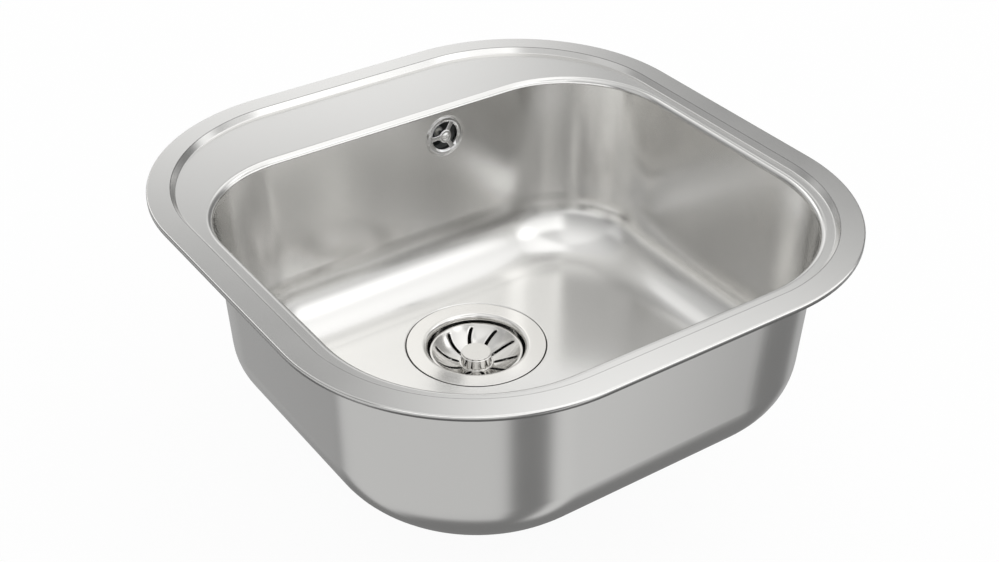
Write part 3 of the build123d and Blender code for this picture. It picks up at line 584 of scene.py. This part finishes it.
def slotTurn(radius):
    # the slot's middle line in degrees: a parabola through its two ends and its middle
    p = pan
    at = min(max(radius, p["slotIn"] - p["slotPast"]), p["slotOut"] + p["slotPast"])
    share = (p["slotOut"] - at) / (p["slotOut"] - p["slotIn"])
    rise, bend = 4 * p["lead"] - p["sweep"], 2 * p["sweep"] - 4 * p["lead"]
    return p["start"] + rise * share + bend * share * share


def slotReach(radius):
    # half of the slot's width at a radius, nothing outside it
    past = max(pan["slotIn"] - radius, radius - pan["slotOut"], 0)
    return sqrt(max(pan["slotHalf"] ** 2 - past ** 2, 0))


def panRows():
    p = pan
    lipIn, long = p["radius"] - p["lip"], p["slotOut"] - p["slotIn"]
    ends = [p["slotHalf"] * cos(i * pi / (2 * p["endRows"])) for i in range(p["endRows"])]
    radii = [p["slotIn"] - end for end in ends]
    radii += [p["slotIn"] + i * long / p["slotRows"] for i in range(p["slotRows"] + 1)]
    radii += [p["slotOut"] + end for end in reversed(ends)]
    arc = [(radius, dishHeight(radius), 0) for radius in radii + [lipIn - p["lipRun"]]]
    return roundedLine([
        (p["bore"], p["middleTop"], 0), (p["middle"] - p["middleRun"], p["middleTop"], 0),
        (p["middle"], p["middleTop"], p["middleRound"]), *arc,
        (lipIn, p["lipTop"], p["lipRound"]), (p["radius"], p["lipTop"], 0)], 5)


def buildPan():
    p = pan
    rows = panRows()
    sector = 2 * pi / p["slots"]
    bm = bmesh.new()
    grid = bmesh.ops.create_grid(bm, x_segments=len(rows) - 1, y_segments=p["columns"], size=1)
    for vert in grid["verts"]:
        radius, height = rows[round((vert.co.x + 1) / 2 * (len(rows) - 1))]
        share = (vert.co.y + 1) / 2
        half = asin(slotReach(radius) / radius)
        angle = radians(slotTurn(radius)) + half + share * (sector - 2 * half)
        vert.co = drainPlace @ Vector((radius * cos(angle), radius * sin(angle), height))
    geom = bm.verts[:] + bm.edges[:] + bm.faces[:]
    bmesh.ops.spin(bm, geom=geom, cent=drainPlace.translation, axis=(0, 0, 1), dvec=(0, 0, 0),
                   angle=2 * pi, steps=p["slots"], use_merge=False, use_duplicate=True)
    bmesh.ops.remove_doubles(bm, verts=bm.verts, dist=nearby)
    facesUp(bm)
    return bm


basketPan = finishPiece(buildPan(), "strainerPan", "basket", basketSteel, "basket_pan",
                        40, False)
applyModifier(basketPan, "SOLIDIFY", thickness=pan["sheet"] * mm, offset=-1, use_even_offset=True)
applyModifier(basketPan, "BEVEL", width=pan["edge"] * mm, segments=2, limit_method="ANGLE",
              angle_limit=radians(50), harden_normals=False)
print("basket pan:", len(basketPan.data.polygons), "faces")


# fluted knob and union nuts: rings whose radius dips at each flute
def gripDepth(angle, count, radius, middle, cutter):
    # how far a round groove of the cutter's radius bites into a wall of this radius
    off = middle * sin((angle + pi / count) % (2 * pi / count) - pi / count)
    if abs(off) >= cutter:
        return 0
    return max(radius - (sqrt(middle ** 2 - off ** 2) - sqrt(cutter ** 2 - off ** 2)), 0)


def buildGripped(where, rows, count, radius, middle, cutter, steps):
    # rows are (radius, height, share of the groove's depth)
    def spot(angle, out, up, share):
        reach = out - share * gripDepth(angle, count, radius, middle, cutter)
        return where @ Vector((reach * cos(angle), reach * sin(angle), up))

    bm = bmesh.new()
    growRings(bm, [2 * pi * i / (count * steps) for i in range(count * steps)], rows, spot)
    return bm


knob = {
    "radius": 12.1, "top": -164, "cap": 1.4, "edge": 0.35, "capUnder": 0.2, "taper": 0.3, "hold": 0.05,
    "skirt": 12.9, "foot": -175, "collar": 14.3, "collarUp": 1.2, "collarEdge": 0.5, "footEdge": 0.2,
    "flutes": 16, "flute": 0.75, "fluteIn": 0.7, "fluteGap": 0.02, "cavity": 6, "cavityUp": 4,
    "perFlute": 18,
}


def buildKnob():
    k = knob
    underCap = k["top"] - k["cap"]
    taperFoot, skirtFoot = underCap - k["taper"], k["foot"] + k["collarUp"]
    ceiling = k["foot"] + k["cavityUp"]
    smooth = [(x, z, 0) for x, z in roundedLine([
        (pole, k["top"], 0), (k["radius"], k["top"], k["edge"]), (k["radius"], underCap, k["capUnder"]),
        (k["skirt"], taperFoot, 0)], 4, k["hold"])]
    fluted = [(k["skirt"], taperFoot - k["fluteGap"], 1), (k["skirt"], skirtFoot + k["fluteGap"], 1)]
    collar = [(x, z, 0) for x, z in roundedLine([
        (k["skirt"], skirtFoot, 0), (k["collar"], skirtFoot, k["collarEdge"]),
        (k["collar"], k["foot"], k["footEdge"]), (k["cavity"], k["foot"], 0), (k["cavity"], ceiling, 0),
        (pole, ceiling, 0)], 4)]
    return buildGripped(drainPlace, smooth + fluted + collar, k["flutes"], k["skirt"],
                        k["skirt"] - k["fluteIn"], k["flute"], k["perFlute"])


finishPiece(buildKnob(), "flutedKnob", "basket", basketSteel, "basket_knob", 30)
print("knob ready")

nut = {
    "radius": 16.5, "back": -10, "front": 7, "bore": 13.15, "hoseBore": 11.15, "shoulder": 4.5,
    "edge": 1.1, "boreEdge": 0.3, "grips": 10, "gripMiddle": 17.7, "grip": 2.4, "gripEdge": 0.4,
    "perGrip": 20,
}


def buildNut(where):
    n = nut
    outline = roundedLine([
        (n["bore"], n["back"], 0), (n["radius"], n["back"], n["edge"]),
        (n["radius"], n["front"], n["edge"]), (n["hoseBore"], n["front"], n["boreEdge"]),
        (n["hoseBore"], n["shoulder"], 0), (n["bore"], n["shoulder"], 0), (n["bore"], n["back"], 0)], 5)
    rows = [(out, up, 1 if out > n["radius"] - n["gripEdge"] else 0) for out, up in outline]
    return buildGripped(where, rows, n["grips"], n["radius"], n["gripMiddle"], n["grip"], n["perGrip"])


# overflow hose: ribs along a straight, a quarter bend and a short straight, between two union nuts
hose = {
    "crest": 11, "root": 9.6, "bore": 8.3, "collar": 12.4, "collarUp": 2.5, "collarEdge": 0.4,
    "bend": 46, "pitch": 4.4, "perRib": 10, "boreRows": 40, "around": 48,
}


def hoseRoute():
    # a function for the place and direction at a distance, the length, and two directions across it
    h = hose
    start = middleOf("upper_hose_washer")
    start.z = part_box("upper_hose_washer")[0].z / mm
    out = Vector((start.x - drain.x, start.y - drain.y, 0))
    distance, way = out.length, out.normalized()
    lower = middleOf("lower_hose_washer")
    finishReach = (lower.xy - drain.xy).length + sizeOf("upper_hose_washer").z / 2
    fall = start.z - lower.z - h["bend"]
    bend = h["bend"] * pi / 2
    length = fall + bend + distance - h["bend"] - finishReach
    across = Vector((0, 0, 1)).cross(way)
    middle = Vector((drain.x, drain.y, lower.z + h["bend"])) + way * (distance - h["bend"])

    def along(at):
        if at <= fall:
            return start - Vector((0, 0, at)), Vector((0, 0, -1))
        turn = min((at - fall) / h["bend"], pi / 2)
        ahead = way * -sin(turn) - Vector((0, 0, cos(turn)))
        spot = middle + way * h["bend"] * cos(turn) - Vector((0, 0, h["bend"] * sin(turn)))
        return spot + ahead * max(at - fall - bend, 0), ahead

    return along, length, across, way


hoseAlong, hoseLength, hoseAcross, branchWay = hoseRoute()


def buildHose():
    h = hose
    length = hoseLength
    cuff = 2 * h["crest"] + h["collarUp"]
    ribs = int((length - 2 * cuff) / h["pitch"])
    ribStart = (length - ribs * h["pitch"]) / 2

    def wall(at):
        turn = (at - ribStart) / h["pitch"]
        if turn < 0 or turn > ribs:
            return h["crest"]
        dip = 0.5 + 0.5 * cos(2 * pi * turn)
        return h["crest"] - (h["crest"] - h["root"]) * dip * dip * (3 - 2 * dip)

    collar, up, edge = h["collar"], h["collarUp"], h["collarEdge"]
    ribSteps = [ribStart + i * h["pitch"] / h["perRib"] for i in range(-2, ribs * h["perRib"] + 3)]
    rows = [(h["bore"], 0), (collar - edge, 0), (collar, edge), (collar, up - edge), (collar - edge, up),
            (h["crest"], up)]
    rows += [(wall(at), at) for at in ribSteps]
    rows += [(h["crest"], length - up), (collar - edge, length - up), (collar, length - up + edge),
             (collar, length - edge), (collar - edge, length), (h["bore"], length)]
    rows += [(h["bore"], length * i / h["boreRows"]) for i in range(h["boreRows"] - 1, -1, -1)]

    def spot(angle, radius, at):
        middle, ahead = hoseAlong(at)
        return middle + radius * (hoseAcross * cos(angle) + ahead.cross(hoseAcross) * sin(angle))

    bm = bmesh.new()
    growRings(bm, [2 * pi * i / h["around"] for i in range(h["around"])], rows, spot)
    return bm


finishPiece(buildHose(), "ribbedHose", "sink", hosePlastic, "overflow_hose", 50)
washer = sizeOf("upper_hose_washer").z
upperUnion = placeAt(hoseAlong(0)[0] + Vector((0, 0, washer)), (0, 0, -1))
lowerUnion = placeAt(hoseAlong(hoseLength)[0] - branchWay * washer, branchWay, (0, 0, 1))
finishPiece(buildNut(upperUnion), "upperUnionNut", "sink", greyPlastic,
            "upper_hose_nut", 30)
finishPiece(buildNut(lowerUnion), "lowerUnionNut", "sink", blackPlastic,
            "lower_hose_nut", 30)
print("hose and nuts ready, hose", round(hoseLength, 1), "mm")


# overflow cover: a ring with a crest, three spokes and a hub, in front of the dimple's floor
cover = {
    "radius": 16.5, "edgeUp": 1.5, "height": 1.7, "crest": 14.4, "round": 0.3, "slopeFoot": 0.8,
    "slopeRound": 0.25, "bore": 12.8, "spigotWall": 0.4, "spigot": 3.0,
    "spokes": 3, "spokeWide": 4.0, "spokeThick": 1.7, "spokeUp": 0.2, "spokeStart": 60, "spokeInto": 1.2,
    "spokeTip": 0.001, "spokePower": 0.45, "spokeRows": 10, "spokeSides": 24, "flare": 0.5,
    "hub": 6.0, "hubUp": 2.6, "hubEdge": 1.3, "seat": 3.75, "seatEdge": 0.15, "seatFoot": 3.65,
    "seatDeep": 0.5,
}
screw = {
    "head": 3.6, "headUp": 0.75, "crown": 1.6, "crownUp": 0.65, "crownRound": 2.0, "rimDown": 0.05,
    "round": 0.3, "sideDown": 0.4, "coneDown": 1.7, "radius": 2.0, "long": 21.0,
    "crossWide": 1.0, "crossLong": 4.8, "crossDeep": 1.0, "crossUp": 0.6, "crossTurns": (20, 110),
}
coverPlace = overflow @ Matrix.Translation((0, 0, -sink["dimpleDeep"]))


def addSpoke(bm, turn):
    # a bar from hub to ring with a rounded section, wider at both ends, which are closed inside them
    c = cover
    start, end = c["hub"] - c["spokeInto"], c["bore"] - c["spigotWall"] + c["spokeInto"]
    middle, half = (start + end) / 2, (end - start) / 2
    reaches = [start + (end - start) * i / c["spokeRows"] for i in range(c["spokeRows"] + 1)]
    rows = [(out, 1 + c["flare"] * ((out - middle) / half) ** 4) for out in reaches]

    def fuller(value):
        return abs(value) ** c["spokePower"] * (1 if value > 0 else -1)

    def spot(angle, out, share):
        across = fuller(cos(angle)) * share * c["spokeWide"] / 2
        up = fuller(sin(angle)) * min(share, 1) * c["spokeThick"] / 2
        return coverPlace @ turn @ Vector((out, across, c["spokeUp"] + c["spokeThick"] / 2 + up))

    growRings(bm, [2 * pi * i / c["spokeSides"] for i in range(c["spokeSides"])],
              [(start, c["spokeTip"]), *rows, (end, c["spokeTip"])], spot)


def buildCover():
    c = cover
    inner, top = c["bore"] - c["spigotWall"], c["spokeUp"] + c["hubUp"]
    outline = roundedLine([
        (c["radius"], 0, 0), (c["radius"], c["edgeUp"], c["round"]),
        (c["crest"], c["height"], c["round"]), (inner, c["slopeFoot"], c["slopeRound"]),
        (inner, -c["spigot"], 0), (c["bore"], -c["spigot"], 0), (c["bore"], 0, 0),
        (c["radius"], 0, 0)], 5)
    bm = bmesh.new()
    lathe(bm, outline, coverPlace, 96)
    for i in range(c["spokes"]):
        addSpoke(bm, Matrix.Rotation(radians(c["spokeStart"]) + 2 * pi * i / c["spokes"], 4, "Z"))
    hub = roundedLine([
        (pole, c["spokeUp"], 0), (c["hub"], c["spokeUp"], c["round"]), (c["hub"], top, c["hubEdge"]),
        (c["seat"], top, c["seatEdge"]), (c["seatFoot"], top - c["seatDeep"], 0),
        (pole, top - c["seatDeep"], 0)], 5)
    lathe(bm, hub, coverPlace, 64)
    return bm


def buildCoverScrew():
    c = screw
    top = cover["spokeUp"] + cover["hubUp"]
    outline = roundedLine([
        (pole, top + c["headUp"], 0), (c["crown"], top + c["crownUp"], c["crownRound"]),
        (c["head"], top - c["rimDown"], c["round"]), (c["head"], top - c["sideDown"], 0),
        (c["radius"], top - c["coneDown"], 0), (c["radius"], top - c["long"], c["round"]),
        (pole, top - c["long"], 0)], 5)
    bm = bmesh.new()
    lathe(bm, outline, coverPlace, 48)
    return bm


def screwCross():
    c = screw
    bm = bmesh.new()
    middle = Matrix.Translation((0, 0, cover["spokeUp"] + cover["hubUp"] + c["crossUp"]))
    bar = Matrix.Diagonal((c["crossLong"], c["crossWide"], 2 * c["crossDeep"], 1))
    for turn in c["crossTurns"]:
        place = coverPlace @ Matrix.Rotation(radians(turn), 4, "Z") @ middle
        bmesh.ops.create_cube(bm, size=1, matrix=place @ bar)
    return bm


finishPiece(buildCover(), "overflowCover", "sink", chrome, "overflow_rosette", 40)
coverScrew = finishPiece(buildCoverScrew(), "coverScrew", "sink", screwSteel,
                         "overflow_screw", 40)
cutAway(coverScrew, screwCross())
print("overflow cover ready")


# the camera, fitted to the photo: angles in degrees and its spot in millimetres
view = {
    "focalPixels": 1596.54, "widePixels": 999, "sensor": 36, "clipStart": 0.05,
    "azimuth": -34.787, "elevation": 33.718, "roll": 0.2815, "spot": (-592.36, -853.73, 616.84),
}


def placeCamera():
    azimuth, elevation, roll = (radians(view[key]) for key in ("azimuth", "elevation", "roll"))
    back = Vector((sin(azimuth) * cos(elevation), -cos(azimuth) * cos(elevation), sin(elevation)))
    right = Vector((cos(azimuth), sin(azimuth), 0))
    up = back.cross(right)
    turned = Matrix((right * cos(roll) + up * sin(roll), up * cos(roll) - right * sin(roll), back))
    data = bpy.data.cameras.new("camera")
    data.sensor_width = view["sensor"]
    data.lens = view["focalPixels"] * view["sensor"] / view["widePixels"]
    data.clip_start = view["clipStart"]
    camera = bpy.data.objects.new("camera", data)
    bpy.context.scene.collection.objects.link(camera)
    spot = Matrix.Translation(Vector(view["spot"]) * mm)
    camera.matrix_world = spot @ turned.transposed().to_4x4()
    bpy.context.scene.camera = camera


placeCamera()


# light, background and floor: the world's level grows from under by over between two heights
studio = {
    "under": 0.22, "over": 0.66, "overFrom": 20, "overTo": 80, "edge": 6,
    "floorSize": 8.0, "floorColour": 0.95, "floorShade": 0.06,
}
# middle and half width in degrees, from +y towards +x, then middle and half height, and strength
softBoxes = {
    "ceilingRight": (100, 66, 64, 29, 0.53),
    "ceilingLeft": (-120, 36, 62, 38, 0.27),
    "backPanel": (-15, 15, 34, 22, 0.48),
    "backGlow": (0, 9, 34, 13, 1.20),
    "backLeft": (-40, 10, 34, 12, 0.28),
    "backLow": (20, 20, 17, 11, 0.67),
    "backHigh": (43, 12, 44, 13, 0.37),
    "deckGlow": (26, 8, 25, 6, 0.48),
    "sillBack": (29, 53, -20, 26, 0.24),
    "leftPanel": (-70, 16, 24, 18, 0.44),
    "leftLow": (-101, 70, -44, 22, 0.42),
    "rightHigh": (100, 12, 34, 12, 1.07),
    "rightGlow": (128, 9, 34, 12, 0.50),
    "frontHigh": (177, 35, 40, 15, 0.88),
    "frontWall": (178, 80, -2, 23, 1.17),
    "frontStrip": (144, 13, -31, 40, 0.50),
}


def buildWorld():
    # the camera and clear things see white, all else the soft boxes over a level that grows upwards
    world = bpy.data.worlds.new("studio")
    bpy.context.scene.world = world
    world.use_nodes = True
    nodes, links = world.node_tree.nodes, world.node_tree.links
    nodes.clear()

    def maths(operation, *values):
        node = nodes.new("ShaderNodeMath")
        node.operation = operation
        for socket, value in zip(node.inputs, values):
            if isinstance(value, (int, float)):
                socket.default_value = value
            else:
                links.new(value, socket)
        return node.outputs[0]

    def ramp(value, fromMin, fromMax, toMin, toMax):
        node = nodes.new("ShaderNodeMapRange")
        node.interpolation_type = "SMOOTHSTEP"
        links.new(value, node.inputs["Value"])
        limits = {"From Min": fromMin, "From Max": fromMax, "To Min": toMin, "To Max": toMax}
        for key, number in limits.items():
            node.inputs[key].default_value = number
        return node.outputs["Result"]

    where, parts = nodes.new("ShaderNodeTexCoord"), nodes.new("ShaderNodeSeparateXYZ")
    links.new(where.outputs["Generated"], parts.inputs[0])
    turn = maths("ARCTAN2", parts.outputs["X"], parts.outputs["Y"])
    height = maths("ARCSINE", parts.outputs["Z"])
    edge = radians(studio["edge"])
    level = ramp(height, radians(studio["overFrom"]), radians(studio["overTo"]), studio["under"],
                 studio["under"] + studio["over"])
    for boxName, (*place, strength) in softBoxes.items():
        middleTurn, halfTurn, middleHeight, halfHeight = (radians(value) for value in place)
        across = maths("ABSOLUTE", maths("WRAP", maths("SUBTRACT", turn, middleTurn), pi, -pi))
        upDown = maths("ABSOLUTE", maths("SUBTRACT", height, middleHeight))
        window = maths("MULTIPLY", ramp(across, halfTurn - edge, halfTurn + edge, 1, 0),
                       ramp(upDown, halfHeight - edge, halfHeight + edge, 1, 0))
        light = nodes.new("ShaderNodeMath")
        light.name = boxName
        light.operation = "MULTIPLY_ADD"
        links.new(window, light.inputs[0])
        light.inputs[1].default_value = strength
        links.new(level, light.inputs[2])
        level = light.outputs[0]
    output, mix = nodes.new("ShaderNodeOutputWorld"), nodes.new("ShaderNodeMixShader")
    boxes, white = nodes.new("ShaderNodeBackground"), nodes.new("ShaderNodeBackground")
    boxes.inputs["Color"].default_value = white.inputs["Color"].default_value = (1, 1, 1, 1)
    links.new(level, boxes.inputs["Strength"])
    path = nodes.new("ShaderNodeLightPath")
    seesWhite = maths("MAXIMUM", path.outputs["Is Camera Ray"], path.outputs["Is Transmission Ray"])
    links.new(seesWhite, mix.inputs["Fac"])
    links.new(boxes.outputs[0], mix.inputs[1])
    links.new(white.outputs[0], mix.inputs[2])
    links.new(mix.outputs[0], output.inputs["Surface"])


def buildFloor():
    # a pale floor that keeps the shadow, lets the steel see the soft boxes and is clear from below
    material = bpy.data.materials.new("paleFloor")
    material.use_nodes = True
    nodes, links = material.node_tree.nodes, material.node_tree.links
    nodes.clear()
    output, path = nodes.new("ShaderNodeOutputMaterial"), nodes.new("ShaderNodeLightPath")
    pale, white = nodes.new("ShaderNodeBsdfDiffuse"), nodes.new("ShaderNodeEmission")
    clear = nodes.new("ShaderNodeBsdfTransparent")
    pale.inputs["Color"].default_value = (*[studio["floorColour"]] * 3, 1)
    seen, mix = nodes.new("ShaderNodeMixShader"), nodes.new("ShaderNodeMixShader")
    share = nodes.new("ShaderNodeMath")
    share.operation = "MULTIPLY"
    share.inputs[1].default_value = 1 - studio["floorShade"]
    links.new(path.outputs["Is Camera Ray"], share.inputs[0])
    links.new(share.outputs[0], seen.inputs["Fac"])
    links.new(pale.outputs[0], seen.inputs[1])
    links.new(white.outputs[0], seen.inputs[2])
    side, either = nodes.new("ShaderNodeNewGeometry"), nodes.new("ShaderNodeMath")
    either.operation = "MAXIMUM"
    links.new(path.outputs["Is Glossy Ray"], either.inputs[0])
    links.new(side.outputs["Backfacing"], either.inputs[1])
    links.new(either.outputs[0], mix.inputs["Fac"])
    links.new(seen.outputs[0], mix.inputs[1])
    links.new(clear.outputs[0], mix.inputs[2])
    links.new(mix.outputs[0], output.inputs["Surface"])
    bm = bmesh.new()
    low = min(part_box(node)[0].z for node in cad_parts)
    bmesh.ops.create_grid(bm, x_segments=2, y_segments=2, size=studio["floorSize"] / 2,
                          matrix=Matrix.Translation((0, 0, low)))
    mesh = bpy.data.meshes.new("floor")
    bm.to_mesh(mesh)
    bm.free()
    mesh.materials.append(material)
    floor = bpy.data.objects.new("floor", mesh)
    bpy.context.scene.collection.objects.link(floor)


buildWorld()
buildFloor()
bpy.context.scene.view_settings.view_transform = "Standard"

print("scene ready")
